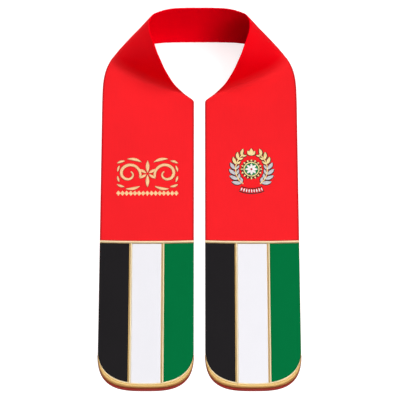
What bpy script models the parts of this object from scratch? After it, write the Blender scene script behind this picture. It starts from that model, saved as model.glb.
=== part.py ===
"""Flag scarf, laid on a table: a long flat strip of cloth whose two legs lie side by side and whose
neck stands on its edge in a loop behind them. A red lining runs the whole length. On it lie a red
face over the neck and chest, and below each cross seam a black, a white and a green stripe with
gold piping between them. A gold cord closes each rounded end, and embroidery lies on the chest.
Metres, +Z up, X across the legs, +Y from the rounded ends to the neck."""
import math

import bmesh
import bpy
import numpy as np

# The strip
LEG_WIDTH = 0.150
LEG_LENGTH = 0.499
HALF_GAP = 0.009
CLOTH = 0.0010
CLEARANCE = 0.0003

# The neck loop that stands behind the legs
NECK_HALF_WIDTH = 0.0805
NECK_DEPTH = 0.1073
NECK_HEIGHT = 0.129
SHOULDER_INSET = 0.0125
# How far a crease of the cloth spreads along the strip
BEND_REACH = 0.011
# The same at the neck edge, as a share of it, and the share of the width over which it grows
EDGE_BEND = 0.35
BEND_GROWTH = 0.33

# The flag ends
FLAG_LENGTH = 0.250
SEAM_SAG = 0.0012
PIPING_WIDTH = 0.0045
PIPING_HEIGHT = 0.0020
HEM_ROUND = 0.0705
HEM_MARGIN = 0.0037
CORD_WIDTH = 0.0080
CORD_HEIGHT = 0.0026
HEM_SQUARENESS = 3.1
STRIPE_SQUARENESS = 2.5

# The embroidery. Its places are shares of the way from the neck corner to the cross seam.
THREAD_HEIGHT = 0.0008
SCROLL_WIDTH = 0.100
SCROLL_HEIGHT = 0.048
SCROLL_PLACE = 0.53
LOZENGE_HEIGHT = 0.010
LOZENGE_GAP = 0.005
LOZENGES = 15
MEDALLION_WIDTH = 0.071
MEDALLION_HEIGHT = 0.084
MEDALLION_PLACE = 0.498
ROUNDEL_RADIUS = 0.0125
LEAVES = 8
PETALS = 8

# Worked out from these
LEG_CENTRE = HALF_GAP + LEG_WIDTH / 2
MIDDLE_HEIGHT = CLOTH + CLEARANCE / 2
FACE_BASE = CLOTH + CLEARANCE
FACE_TOP = FACE_BASE + CLOTH
Y_SHIFT = (LEG_LENGTH - NECK_DEPTH - MIDDLE_HEIGHT) / 2
ROUND_START = LEG_LENGTH - HEM_ROUND
STRIPE_ROUND = HEM_ROUND - HEM_MARGIN - CORD_WIDTH
SEAM_DROP = LEG_LENGTH - FLAG_LENGTH
SCROLL_DROP = SEAM_DROP * SCROLL_PLACE
LOZENGE_DROP = SCROLL_DROP + SCROLL_HEIGHT / 2 + LOZENGE_GAP + LOZENGE_HEIGHT / 2
MEDALLION_DROP = SEAM_DROP * MEDALLION_PLACE

# How finely the meshes are cut
COLUMNS = 16
LEG_ROWS = 4
STEPS = 2
ARC_POINTS = 14
SEAM_POINTS = 9
ROUND_POINTS = 7

# The turn from lying to standing, a row for each ruling from the neck edge to the foot edge.
# edge_out is the share of the run from the gap to the neck's side, edge_back of the neck's depth
# and edge_up of its height. foot_in is the share of the shoulder's inset, foot_back of the depth.
# The cloth rises from the foot as the power sweep of the share of the way to the neck edge.
TURN = [
    dict(edge_out=0.000, edge_back=-0.300, edge_up=0.00, foot_in=-0.04, foot_back=0.00, sweep=1.0),
    dict(edge_out=0.000, edge_back=-0.120, edge_up=0.00, foot_in=-0.01, foot_back=0.20, sweep=1.0),
    dict(edge_out=0.000, edge_back=-0.005, edge_up=0.00, foot_in=0.08, foot_back=0.36, sweep=1.2),
    dict(edge_out=0.262, edge_back=0.124, edge_up=0.02, foot_in=0.32, foot_back=0.50, sweep=1.6),
    dict(edge_out=0.448, edge_back=0.177, edge_up=0.16, foot_in=0.49, foot_back=0.57, sweep=1.8),
    dict(edge_out=0.570, edge_back=0.203, edge_up=0.35, foot_in=0.65, foot_back=0.608, sweep=1.8),
    dict(edge_out=0.667, edge_back=0.227, edge_up=0.53, foot_in=0.75, foot_back=0.630, sweep=1.7),
    dict(edge_out=0.748, edge_back=0.247, edge_up=0.73, foot_in=0.83, foot_back=0.647, sweep=1.45),
    dict(edge_out=0.823, edge_back=0.299, edge_up=0.86, foot_in=0.90, foot_back=0.662, sweep=1.25),
    dict(edge_out=0.882, edge_back=0.385, edge_up=0.94, foot_in=0.98, foot_back=0.677, sweep=1.05),
    dict(edge_out=0.960, edge_back=0.520, edge_up=0.99, foot_in=1.05, foot_back=0.693, sweep=0.90),
    dict(edge_out=0.998, edge_back=0.690, edge_up=1.00, foot_in=1.14, foot_back=0.712, sweep=0.86),
]

# The standing band from the shoulder to the middle of the back. The top edge is in shares of the
# neck's half width and depth, the foot edge in shares of the shoulder's own place and the depth,
# and the sweep is as above.
BAND = [
    dict(top_side=0.944, top_back=0.828, foot_side=0.928, foot_back=0.784, sweep=0.86),
    dict(top_side=0.807, top_back=0.890, foot_side=0.736, foot_back=0.888, sweep=0.92),
    dict(top_side=0.571, top_back=0.942, foot_side=0.483, foot_back=0.982, sweep=1.0),
    dict(top_side=0.248, top_back=0.957, foot_side=0.196, foot_back=1.000, sweep=1.0),
    dict(top_side=0.000, top_back=0.957, foot_side=0.000, foot_back=1.000, sweep=1.0),
]


def remove_old_objects():
    """Empties the scene that the script runs in."""
    for old in list(bpy.data.objects):
        bpy.data.objects.remove(old, do_unlink=True)


def new_collection(name):
    """A collection linked to the scene."""
    made = bpy.data.collections.new(name)
    bpy.context.scene.collection.children.link(made)
    return made


def cloth_material(name, colour, roughness=0.6, metallic=0.0):
    """A Principled material of one linear colour."""
    made = bpy.data.materials.new(name)
    made.use_nodes = True
    shader = made.node_tree.nodes["Principled BSDF"]
    shader.inputs["Base Color"].default_value = (*colour, 1.0)
    shader.inputs["Roughness"].default_value = roughness
    shader.inputs["Metallic"].default_value = metallic
    return made


def add_object(name, data, material, place=(0.0, 0.0, 0.0)):
    """Names an object, gives it its material and puts it in the scarf's collection."""
    made = bpy.data.objects.new(name, data)
    made.location = place
    data.materials.append(material)
    scarf.objects.link(made)
    return made


def through(points, steps):
    """Cuts each stretch between the given points in steps, on a Catmull-Rom curve through them.
    The ends run straight on, so their tangents are those of the first and last stretch."""
    points = np.asarray(points, float)
    first = 2 * points[:1] - points[1:2]
    last = 2 * points[-1:] - points[-2:-1]
    p = np.vstack([first, points, last])
    u = (np.arange(steps) / steps)[None, :, None]
    a, b, c, d = p[:-3, None], p[1:-2, None], p[2:-1, None], p[3:, None]
    curve = 0.5 * (2 * b + (c - a) * u + (2 * a - 5 * b + 4 * c - d) * u**2
                   + (3 * b - a - 3 * c + d) * u**3)
    return np.vstack([curve.reshape(-1, points.shape[1]), points[-1:]])


def rails():
    """The neck edge and the foot edge of the strip's middle surface, from the chest of the left
    leg to the middle of the back, each edge point with its height and its sweep. Each row of the
    two tables is a ruling between them, straight as seen from above. The neck corner is the last
    row whose edge still runs along the gap."""
    outer = HALF_GAP + LEG_WIDTH
    shoulder = outer - SHOULDER_INSET
    edge = [(-HALF_GAP - r["edge_out"] * (NECK_HALF_WIDTH - HALF_GAP), r["edge_back"] * NECK_DEPTH,
             r["edge_up"] * NECK_HEIGHT, r["sweep"]) for r in TURN]
    foot = [(-outer + r["foot_in"] * SHOULDER_INSET, r["foot_back"] * NECK_DEPTH) for r in TURN]
    edge += [(-r["top_side"] * NECK_HALF_WIDTH, r["top_back"] * NECK_DEPTH, NECK_HEIGHT,
              r["sweep"]) for r in BAND]
    foot += [(-r["foot_side"] * shoulder, r["foot_back"] * NECK_DEPTH) for r in BAND]
    corner = sum(r["edge_out"] == 0.0 for r in TURN) - 1
    straight = through(edge[:corner + 1], STEPS)
    turning = through(edge[corner:], STEPS)
    return np.vstack([straight[:-1], turning]), through(foot, STEPS)


def superellipse(half_width, depth, squareness, angles):
    """Points on the curve |x / half width|^n + |y / depth|^n = 1, below its middle."""
    power = 2.0 / squareness
    x = half_width * np.sign(np.cos(angles)) * np.abs(np.cos(angles)) ** power
    y = -depth * np.abs(np.sin(angles)) ** power
    return x, y


def round_end(x, depth, squareness):
    """How far the rounded end reaches past ROUND_START at a place x across the leg."""
    share = np.clip(np.abs(x) / (LEG_WIDTH / 2), 0.0, 1.0)
    return depth * (1.0 - share**squareness) ** (1.0 / squareness)


def seam(x):
    """The cross seam's place down the leg. It sags in the middle as a parabola."""
    return -SEAM_DROP - SEAM_SAG * (1.0 - (x / (LEG_WIDTH / 2)) ** 2)


def across():
    """Places across the strip from its neck edge, 0, to its foot edge, 1, closer at both edges."""
    x, _ = superellipse(1.0, 1.0, HEM_SQUARENESS, np.linspace(0.0, math.pi, COLUMNS + 1))
    return (1.0 - x) / 2


def softened(grid, share):
    """The strip with its creases rounded: along each line of it, a point moves to the mean of its
    neighbours, weighted by the bell exp(-(distance / BEND_REACH)^2). The reach grows with the share
    of the way from the neck edge to the foot, and both ends of the legs stay as they are."""
    step = np.linalg.norm(np.diff(grid, axis=0), axis=2)
    walk = np.vstack([np.zeros((1, len(share))), np.cumsum(step, axis=0)])
    weight = np.gradient(walk, axis=0)
    middle = np.minimum(walk, walk[-1] - walk) / BEND_REACH
    moved = grid.copy()
    grown = np.minimum(share / BEND_GROWTH, 1.0)
    for column, reach in enumerate(BEND_REACH * (EDGE_BEND + (1 - EDGE_BEND) * grown)):
        place = walk[:, column]
        bell = np.exp(-((place[:, None] - place[None, :]) / reach) ** 2) * weight[None, :, column]
        mean = bell @ grid[:, column] / bell.sum(axis=1, keepdims=True)
        part = np.clip(middle[:, column] / 4 - 1, 0.0, 1.0)[:, None]
        moved[:, column] += part * (mean - grid[:, column])
    return moved


def strip(leg_end):
    """The middle surface of the whole strip as a grid of points. leg_end gives where a leg stops,
    from the places across it. The right half mirrors the left half."""
    t = across()
    edge, foot = rails()
    flat = edge[:, None, :2] * (1 - t)[None, :, None] + foot[:, None] * t[None, :, None]
    rise = MIDDLE_HEIGHT + edge[:, 2, None] * (1 - t)[None, :] ** edge[:, 3, None]
    neck = np.concatenate([flat, rise[..., None]], axis=2)
    x = (0.5 - t) * LEG_WIDTH
    end = np.stack([x - LEG_CENTRE, leg_end(x), np.full_like(x, MIDDLE_HEIGHT)], axis=1)
    share = (np.arange(LEG_ROWS) / LEG_ROWS)[:, None, None]
    leg = end[None] * (1 - share) + neck[:1] * share
    half = np.vstack([leg, neck])
    return softened(np.vstack([half, half[-2::-1] * (-1.0, 1.0, 1.0)]), t)


def grid_mesh(name, grid):
    """An open surface of four-sided faces on a grid of points."""
    rows, columns = grid.shape[:2]
    index = np.arange(rows * columns).reshape(rows, columns)
    faces = np.stack([index[:-1, :-1], index[1:, :-1], index[1:, 1:], index[:-1, 1:]], axis=-1)
    made = bpy.data.meshes.new(name)
    made.from_pydata(grid.reshape(-1, 3).tolist(), [], faces.reshape(-1, 4).tolist())
    made.shade_smooth()
    return made


def cloth_layer(name, leg_end, direction, material):
    """One layer of the strip, above its middle surface, 1, or under it, -1. The surface moves half
    the clearance along its normals and gets its wall away from the other layer."""
    mesh = grid_mesh(name, strip(leg_end))
    place, normal = np.empty(len(mesh.vertices) * 3), np.empty(len(mesh.vertices) * 3)
    mesh.vertices.foreach_get("co", place)
    mesh.vertex_normals.foreach_get("vector", normal)
    mesh.vertices.foreach_set("co", place + normal * direction * CLEARANCE / 2)
    made = add_object(name, mesh, material, (0.0, Y_SHIFT, 0.0))
    wall = made.modifiers.new("Wall", "SOLIDIFY")
    wall.thickness = CLOTH
    wall.offset = direction
    return made


def flat_piece(name, outline, side, drop, base, thickness, material):
    """A filled outline, lying on a leg. The outline's own middle is at the leg's centre line."""
    curve = bpy.data.curves.new(name, "CURVE")
    curve.dimensions = "2D"
    curve.fill_mode = "BOTH"
    curve.extrude = thickness / 2
    spline = curve.splines.new("POLY")
    spline.points.add(len(outline) - 1)
    for point, (x, y) in zip(spline.points, outline):
        point.co = (x, y, 0.0, 1.0)
    spline.use_cyclic_u = True
    place = (side * LEG_CENTRE, Y_SHIFT - drop, base + thickness / 2)
    return add_object(name, curve, material, place)


def raised_band(name, inner, outer, side, base, height, material):
    """A cord or piping with a flat underside: between two lines it rises as half an ellipse, on
    sides that are a quarter of its height."""
    inner, outer = np.asarray(inner, float), np.asarray(outer, float)
    turn = np.linspace(0.0, math.pi, ROUND_POINTS)
    share = (1 - np.cos(turn)) / 2
    rise = np.maximum(np.sin(turn), 0.25) * height
    flat = inner[:, None] * (1 - share)[None, :, None] + outer[:, None] * share[None, :, None]
    rise = np.broadcast_to(rise[None, :, None], (len(inner), ROUND_POINTS, 1))
    top = np.concatenate([flat, rise], axis=2)
    low = top[:, ::-1] * (1.0, 1.0, 0.0)
    ring = np.concatenate([top, low[:, [0, -1]]], axis=1)
    rows, sides = ring.shape[:2]
    index = np.arange(rows * sides).reshape(rows, sides)
    wrapped = np.roll(index, -1, axis=1)
    faces = np.stack([index[:-1], wrapped[:-1], wrapped[1:], index[1:]], axis=-1)
    made = bpy.data.meshes.new(name)
    ends = [index[0][::-1].tolist(), index[-1].tolist()]
    made.from_pydata(ring.reshape(-1, 3).tolist(), [], faces.reshape(-1, 4).tolist() + ends)
    form = bmesh.new()
    form.from_mesh(made)
    bmesh.ops.recalc_face_normals(form, faces=form.faces)
    form.to_mesh(made)
    form.free()
    return add_object(name, made, material, (side * LEG_CENTRE, Y_SHIFT, base))


def stripe(name, left, right, side, material):
    """One stripe of the flag end. Its top follows the cross seam and its foot the rounded end."""
    angles = np.linspace(0.0, math.pi, 2 * ARC_POINTS + 1)
    arc, _ = superellipse(LEG_WIDTH / 2, STRIPE_ROUND, STRIPE_SQUARENESS, angles)
    inside = np.sort(arc[(arc > left + CLEARANCE) & (arc < right - CLEARANCE)])
    x = np.concatenate([[left], inside, [right]])
    foot = -ROUND_START - round_end(x, STRIPE_ROUND, STRIPE_SQUARENESS)
    top_x = np.array([right, (left + right) / 2, left])
    top = seam(top_x) - PIPING_WIDTH / 2 - CLEARANCE
    outline = list(zip(x, foot)) + list(zip(top_x, top))
    return flat_piece(name, outline, side, 0.0, FACE_BASE, CLOTH, material)


def flag_end(side, word):
    """The stripes, the pipings and the cord of one leg, read from left to right on both legs."""
    width = (LEG_WIDTH - 2 * PIPING_WIDTH) / 3
    left = -LEG_WIDTH / 2
    for colour, cloth in (("black", black), ("white", white), ("green", green)):
        near = CLEARANCE if left > -LEG_WIDTH / 2 else 0.0
        far = CLEARANCE if left + 2 * width < LEG_WIDTH / 2 else 0.0
        stripe(f"{colour}_stripe_{word}", left + near, left + width - far, side, cloth)
        left += width + PIPING_WIDTH
    half = PIPING_WIDTH / 2
    for number, centre in ((1, -(width + PIPING_WIDTH) / 2), (2, (width + PIPING_WIDTH) / 2)):
        top = seam(centre) - PIPING_WIDTH / 2 - CLEARANCE
        reach = round_end(centre, STRIPE_ROUND, STRIPE_SQUARENESS)
        run = np.linspace(top, -ROUND_START - reach, 3)
        sides = [np.stack([np.full_like(run, centre + away), run], axis=1)
                 for away in (-half, half)]
        raised_band(f"piping_{word}_{number}", *sides, side, FACE_BASE, PIPING_HEIGHT, gold)
    x = np.linspace(-LEG_WIDTH / 2, LEG_WIDTH / 2, SEAM_POINTS)
    sides = [np.stack([x, seam(x) + away], axis=1) for away in (-half, half)]
    raised_band(f"cross_piping_{word}", *sides, side, FACE_BASE, PIPING_HEIGHT, gold)
    hem_cord(side, word)


def hem_cord(side, word):
    """The gold cord round the rounded end, a crescent that is widest at the bottom. Its inner line
    is the foot of the stripes and its outer line leaves a margin of lining at the bottom."""
    first = math.radians(9.0)
    angles = np.linspace(first, math.pi - first, 2 * ARC_POINTS + 1)
    x, y = superellipse(LEG_WIDTH / 2, STRIPE_ROUND + CLEARANCE, STRIPE_SQUARENESS, angles)
    inner = np.stack([x, y - ROUND_START - CLEARANCE], axis=1)
    x, y = superellipse(LEG_WIDTH / 2, HEM_ROUND, HEM_SQUARENESS, angles)
    margin = HEM_MARGIN * (1.0 - (2 * x / LEG_WIDTH) ** 4)
    outer = np.stack([x, y - ROUND_START + margin], axis=1)
    raised_band(f"hem_cord_{word}", inner, outer, side, FACE_BASE, CORD_HEIGHT, gold)


def spiral_scroll(hand):
    """The outline of a scroll, a ribbon along an oval spiral that leaves the middle, swings out and
    curls in. Spiral and ribbon both shrink evenly towards the curl."""
    u = np.linspace(0.0, 1.0, 22)
    turn = math.radians(200.0) - u * math.radians(430.0)
    centre_x = SCROLL_WIDTH * 0.30
    reach_x = SCROLL_WIDTH * (0.19 - 0.145 * u)
    reach_y = SCROLL_HEIGHT * (0.40 - 0.30 * u)
    half_width = SCROLL_HEIGHT * (0.045 - 0.025 * u)

    def side_line(away):
        x = centre_x + (reach_x + away) * np.cos(turn)
        return np.stack([hand * x, (reach_y + away) * np.sin(turn)], axis=1)

    return np.vstack([side_line(half_width), side_line(-half_width)[::-1]])


def flower(reach_x, reach_y, count, depth):
    """A closed flower outline with count petals: the radius falls by the share depth between
    them, as a cosine of the angle. A depth of 0 gives an oval."""
    turn = np.linspace(0.0, 2 * math.pi, 48, endpoint=False)
    radius = 1.0 - depth * (0.5 - 0.5 * np.cos(count * turn))
    return np.stack([reach_x * radius * np.sin(turn), reach_y * radius * np.cos(turn)], axis=1)


def lozenge_row():
    """A row of lozenges on one thread: the half height is a triangle wave above the thread's."""
    x = np.linspace(-SCROLL_WIDTH / 2, SCROLL_WIDTH / 2, 2 * LOZENGES + 1)
    wave = np.where(np.arange(len(x)) % 2 == 1, 1.0, 0.14)
    high = wave * LOZENGE_HEIGHT / 2
    return np.vstack([np.stack([x, high], axis=1), np.stack([x, -high], axis=1)[::-1]])


def wreath_branch(hand):
    """One branch of a wreath: a band along an oval whose width swells once for each pair of
    leaves. It starts beside the ribbon and leaves the top open."""
    u = np.linspace(0.0, 1.0, 4 * LEAVES + 1)
    turn = math.radians(-55.0) + u * math.radians(118.0)
    leaf = 0.35 + 0.65 * np.abs(np.sin(u * LEAVES * math.pi))
    half_width = MEDALLION_WIDTH * 0.095 * leaf * (1.0 - 0.55 * u**2)

    def side_line(away):
        x = (MEDALLION_WIDTH * 0.405 + away) * np.cos(turn)
        return np.stack([hand * x, (MEDALLION_HEIGHT * 0.400 + away) * np.sin(turn)], axis=1)

    return np.vstack([side_line(half_width), side_line(-half_width)[::-1]])


def ribbon():
    """A ribbon tied under the wreath: a knot with two notched tails. Its corners are shares of
    the ribbon's half width and half height, and the left half mirrors the right one."""
    half_width, half_height = MEDALLION_WIDTH * 0.20, MEDALLION_HEIGHT * 0.050
    corners = [(0.18, 0.8), (1.0, 0.3), (0.8, -0.7), (1.1, -1.6), (0.10, -0.6)]
    right = [(x * half_width, y * half_height) for x, y in corners]
    return right + [(-x, y) for x, y in reversed(right)]


def embroidery():
    """Raised thread work on the chest: scrolls round a flower over a row of lozenges on the left
    leg, and a wreath round a roundel on the right leg."""

    def sewn(name, outline, side, drop, thread, layer=0):
        base = FACE_TOP + CLEARANCE + layer * (THREAD_HEIGHT + CLEARANCE)
        flat_piece(name, outline, side, drop, base, THREAD_HEIGHT, thread)

    palmette = flower(SCROLL_WIDTH * 0.095, SCROLL_HEIGHT * 0.49, 6, 0.42)
    rosette = flower(ROUNDEL_RADIUS * 0.8, ROUNDEL_RADIUS * 0.8, PETALS, 0.35)
    sewn("scroll_left", spiral_scroll(-1.0), -1, SCROLL_DROP, gold)
    sewn("scroll_right", spiral_scroll(1.0), -1, SCROLL_DROP, gold)
    sewn("palmette", palmette, -1, SCROLL_DROP, gold)
    sewn("lozenge_row", lozenge_row(), -1, LOZENGE_DROP, gold)
    sewn("wreath_left", wreath_branch(-1.0), 1, MEDALLION_DROP, gold)
    sewn("wreath_right", wreath_branch(1.0), 1, MEDALLION_DROP, gold)
    sewn("roundel", flower(ROUNDEL_RADIUS, ROUNDEL_RADIUS, 1, 0.0), 1, MEDALLION_DROP, green)
    sewn("rosette", rosette, 1, MEDALLION_DROP, white, layer=1)
    sewn("ribbon", ribbon(), 1, MEDALLION_DROP + MEDALLION_HEIGHT * 0.43, red)


remove_old_objects()
scarf = new_collection("Flag scarf")
red = cloth_material("Red satin", (0.92, 0.013, 0.017))
black = cloth_material("Black twill", (0.020, 0.018, 0.019))
white = cloth_material("White twill", (0.86, 0.86, 0.89))
green = cloth_material("Green twill", (0.003, 0.175, 0.048))
gold = cloth_material("Gold thread", (0.80, 0.58, 0.22), 0.45)

cloth_layer("lining", lambda x: -ROUND_START - round_end(x, HEM_ROUND, HEM_SQUARENESS),
            -1.0, red)
cloth_layer("red_face", lambda x: seam(x) + PIPING_WIDTH / 2 + CLEARANCE, 1.0, red)
flag_end(-1, "left")
flag_end(1, "right")
embroidery()
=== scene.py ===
import math

import bpy
import numpy as np
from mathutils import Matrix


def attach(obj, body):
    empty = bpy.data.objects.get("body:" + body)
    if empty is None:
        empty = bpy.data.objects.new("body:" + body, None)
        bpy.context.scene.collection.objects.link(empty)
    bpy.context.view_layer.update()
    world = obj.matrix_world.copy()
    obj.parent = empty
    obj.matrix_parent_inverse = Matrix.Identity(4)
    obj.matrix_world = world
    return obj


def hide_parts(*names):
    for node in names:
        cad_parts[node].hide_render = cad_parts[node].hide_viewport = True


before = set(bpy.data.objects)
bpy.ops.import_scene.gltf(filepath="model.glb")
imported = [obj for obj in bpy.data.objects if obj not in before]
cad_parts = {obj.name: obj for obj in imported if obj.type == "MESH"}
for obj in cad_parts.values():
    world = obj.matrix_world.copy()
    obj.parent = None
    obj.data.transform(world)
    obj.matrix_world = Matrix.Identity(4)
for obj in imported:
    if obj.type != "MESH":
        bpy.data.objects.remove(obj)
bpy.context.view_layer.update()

# Sizes of the strip, as in the part
LEG_WIDTH = 0.150
LEG_LENGTH = 0.499
HALF_GAP = 0.009
CLOTH = 0.0010
CLEARANCE = 0.0003
NECK_HALF_WIDTH = 0.0805
NECK_DEPTH = 0.1073
NECK_HEIGHT = 0.129
SHOULDER_INSET = 0.0125
FLAG_LENGTH = 0.250
SEAM_SAG = 0.0012
PIPING_WIDTH = 0.0045
HEM_ROUND = 0.0705
HEM_MARGIN = 0.0037
CORD_WIDTH = 0.0080
HEM_SQUARENESS = 3.1
STRIPE_SQUARENESS = 2.5

# Sizes of the embroidery, as in the part
SCROLL_WIDTH = 0.100
SCROLL_HEIGHT = 0.048
LOZENGE_HEIGHT = 0.010
LOZENGES = 15
MEDALLION_WIDTH = 0.071
MEDALLION_HEIGHT = 0.084
ROUNDEL_RADIUS = 0.0125

# Where the embroidery's middles lie, as shares of the way from the neck corner to the cross seam
SCROLL_PLACE = 0.53
MEDALLION_PLACE = 0.498

# Worked out from these
LEG_CENTRE = HALF_GAP + LEG_WIDTH / 2
MIDDLE_HEIGHT = CLOTH + CLEARANCE / 2
FACE_BASE = CLOTH + CLEARANCE
FACE_TOP = FACE_BASE + CLOTH
Y_SHIFT = (LEG_LENGTH - NECK_DEPTH - MIDDLE_HEIGHT) / 2
ROUND_START = LEG_LENGTH - HEM_ROUND
STRIPE_ROUND = HEM_ROUND - HEM_MARGIN - CORD_WIDTH
SEAM_DROP = LEG_LENGTH - FLAG_LENGTH
STRIPE_WIDTH = (LEG_WIDTH - 2 * PIPING_WIDTH) / 3
SCROLL_DROP = SEAM_DROP * SCROLL_PLACE
LOZENGE_DROP = SCROLL_DROP + SCROLL_HEIGHT / 2 + LOZENGE_HEIGHT
MEDALLION_DROP = SEAM_DROP * MEDALLION_PLACE

# How far a crease of the cloth spreads along the strip
BEND_REACH = 0.011
# The same at the neck edge, as a share of it, and the share of the width over which it grows
EDGE_BEND = 0.35
BEND_GROWTH = 0.33
# The stretch at each end of the strip that stays as it is, in reaches of a crease. The rounding is
# full after as much again.
STILL_REACHES = 4

# Fine sizes that only the looks have
TURNED_EDGE = 0.0016
EDGE_SHADE_WIDTH = 0.0038
PIPING_HEIGHT = 0.0026
CORD_HEIGHT = 0.0034
BINDING_HEIGHT = 0.0028
BOUND_EDGE = 0.0006
SEAM_FOLD = 0.0012
SEAM_LOWER = 0.0008
FOLD_HEIGHT = 0.0019
THREAD_HEIGHT = 0.0009
RIPPLE_HEIGHT = 0.00022
PUCKER_HEIGHT = 0.00010
PIPING_TWIST = 0.0026
HEM_TWIST = 0.0018

# Sizes of the embroidery that only the looks have. The wreath's turn is in degrees, and its
# leaves' spread and bend are in radians.
OUTLINE = 0.0014
SHADOW_LINE_SPREAD = 0.0007
SCROLL_THREAD = 0.0013
WREATH_SHARE = 0.36
WREATH_PAIRS = 7
SILVER_PAIRS = 4
WREATH_TURN = 52.0
STEM_HALF_WIDTH = 0.0009
LEAF_POINTS = 15
LEAF_LENGTH = 0.0165
LEAF_HALF_WIDTH = 0.0033
TIP_LEAF = 0.78
INNER_LEAF = 0.64
LEAF_SPREAD = 0.60
LEAF_BEND = 0.5
BUD_PLACE = 0.0245
BUD_LENGTH = 0.0125
RAYS = 16
RAY_LENGTH = 0.0045
RAY_HALF_WIDTH = 0.0016
RING_HALF_WIDTH = 0.0010
PETALS = 8
PETAL_HALF_WIDTH = 0.0021
HEART_RADIUS = 0.0016
RIBBON_DROP = MEDALLION_DROP + MEDALLION_HEIGHT * 0.43
RIBBON_LENGTH = MEDALLION_WIDTH * 0.52
RIBBON_HALF_WIDTH = 0.0040
RIBBON_BOW = 0.0040
RIBBON_LOZENGES = 9

# The leaves round a scroll: the start and the length in shares of the scrolls' width, the start's
# height in shares of theirs, heading and bend in degrees
SPRIG = [
    dict(across=0.100, up=0.43, heading=12.0, length=0.24, bend=-40.0, half_width=0.0025),
    dict(across=0.120, up=-0.45, heading=-10.0, length=0.24, bend=40.0, half_width=0.0025),
    dict(across=0.370, up=0.47, heading=-20.0, length=0.13, bend=-35.0, half_width=0.0021),
    dict(across=0.370, up=-0.47, heading=20.0, length=0.13, bend=35.0, half_width=0.0021),
    dict(across=0.455, up=0.30, heading=-75.0, length=0.11, bend=-20.0, half_width=0.0018),
    dict(across=0.455, up=-0.30, heading=75.0, length=0.11, bend=20.0, half_width=0.0018),
]

# The leaves of the palmette: heading in degrees, length in shares of the scrolls' height
PALMETTE = [
    dict(heading=90.0, length=0.441, half_width=0.0030),
    dict(heading=270.0, length=0.441, half_width=0.0030),
    dict(heading=32.0, length=0.270, half_width=0.0024),
    dict(heading=148.0, length=0.270, half_width=0.0024),
    dict(heading=-32.0, length=0.270, half_width=0.0024),
    dict(heading=212.0, length=0.270, half_width=0.0024),
]

# How fine the patterns of the materials are, per metre: the yarns across and along the cloth, its
# slow change of tone, and the fibres of a thread
YARNS = (900.0, 35.0, 1.0)
SLOW_TONE = 22.0
FIBRES = 700.0

# Where a cloth counts as lying and as standing, by its height over the table
LIES = 0.005
STANDS = 0.030

# The painted shade inside the neck: its greatest share, how much of that the top edge has, and
# where it starts and is full, from the middle to the right end and from the neck corner to the back
SHADE = 0.62
SHADE_AT_TOP = 0.55
SHADE_ACROSS = (-0.005, NECK_HALF_WIDTH * 0.9)
SHADE_BEHIND = (Y_SHIFT + 0.02, Y_SHIFT + 0.05)

# The turn from lying to standing and the standing band, in the shares that the part has
TURN = [
    dict(edge_out=0.000, edge_back=-0.300, edge_up=0.00, foot_in=-0.04, foot_back=0.00, sweep=1.0),
    dict(edge_out=0.000, edge_back=-0.120, edge_up=0.00, foot_in=-0.01, foot_back=0.20, sweep=1.0),
    dict(edge_out=0.000, edge_back=-0.005, edge_up=0.00, foot_in=0.08, foot_back=0.36, sweep=1.2),
    dict(edge_out=0.262, edge_back=0.124, edge_up=0.02, foot_in=0.32, foot_back=0.50, sweep=1.6),
    dict(edge_out=0.448, edge_back=0.177, edge_up=0.16, foot_in=0.49, foot_back=0.57, sweep=1.8),
    dict(edge_out=0.570, edge_back=0.203, edge_up=0.35, foot_in=0.65, foot_back=0.608, sweep=1.8),
    dict(edge_out=0.667, edge_back=0.227, edge_up=0.53, foot_in=0.75, foot_back=0.630, sweep=1.7),
    dict(edge_out=0.748, edge_back=0.247, edge_up=0.73, foot_in=0.83, foot_back=0.647, sweep=1.45),
    dict(edge_out=0.823, edge_back=0.299, edge_up=0.86, foot_in=0.90, foot_back=0.662, sweep=1.25),
    dict(edge_out=0.882, edge_back=0.385, edge_up=0.94, foot_in=0.98, foot_back=0.677, sweep=1.05),
    dict(edge_out=0.960, edge_back=0.520, edge_up=0.99, foot_in=1.05, foot_back=0.693, sweep=0.90),
    dict(edge_out=0.998, edge_back=0.690, edge_up=1.00, foot_in=1.14, foot_back=0.712, sweep=0.86),
]

# The standing band from the shoulder to the middle of the back
BAND = [
    dict(top_side=0.944, top_back=0.828, foot_side=0.928, foot_back=0.784, sweep=0.86),
    dict(top_side=0.807, top_back=0.890, foot_side=0.736, foot_back=0.888, sweep=0.92),
    dict(top_side=0.571, top_back=0.942, foot_side=0.483, foot_back=0.982, sweep=1.0),
    dict(top_side=0.248, top_back=0.957, foot_side=0.196, foot_back=1.000, sweep=1.0),
    dict(top_side=0.000, top_back=0.957, foot_side=0.000, foot_back=1.000, sweep=1.0),
]

UP = np.array([0.0, 0.0, 1.0])


# Colours and materials


def linear(code):
    """The linear colour of an sRGB hex code, with full opacity."""
    parts = np.array([int(code[i:i + 2], 16) for i in (1, 3, 5)]) / 255.0
    low, high = parts / 12.92, ((parts + 0.055) / 1.055) ** 2.4
    return (*np.where(parts <= 0.04045, low, high), 1.0)


def add_node(tree, kind, inputs=None, **settings):
    """Adds one node. Its inputs take a value, or a socket of another node to link from."""
    node = tree.nodes.new("ShaderNode" + kind)
    for name, value in settings.items():
        setattr(node, name, value)
    for name, value in (inputs or {}).items():
        if isinstance(value, bpy.types.NodeSocket):
            tree.links.new(value, node.inputs[name])
        else:
            node.inputs[name].default_value = value
    return node


def worked_out(tree, operation, *values):
    """The output of a Math node. Each value is a number or another node's socket."""
    return add_node(tree, "Math", dict(enumerate(values)), operation=operation).outputs[0]


def ranged(tree, value, low, high, to_low=0.0, to_high=1.0):
    """The output of a Map Range node. It takes low to to_low and high to to_high, and stays at
    these beyond them."""
    return add_node(tree, "MapRange", {"Value": value, "From Min": low, "From Max": high,
                                       "To Min": to_low, "To Max": to_high}).outputs[0]


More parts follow.
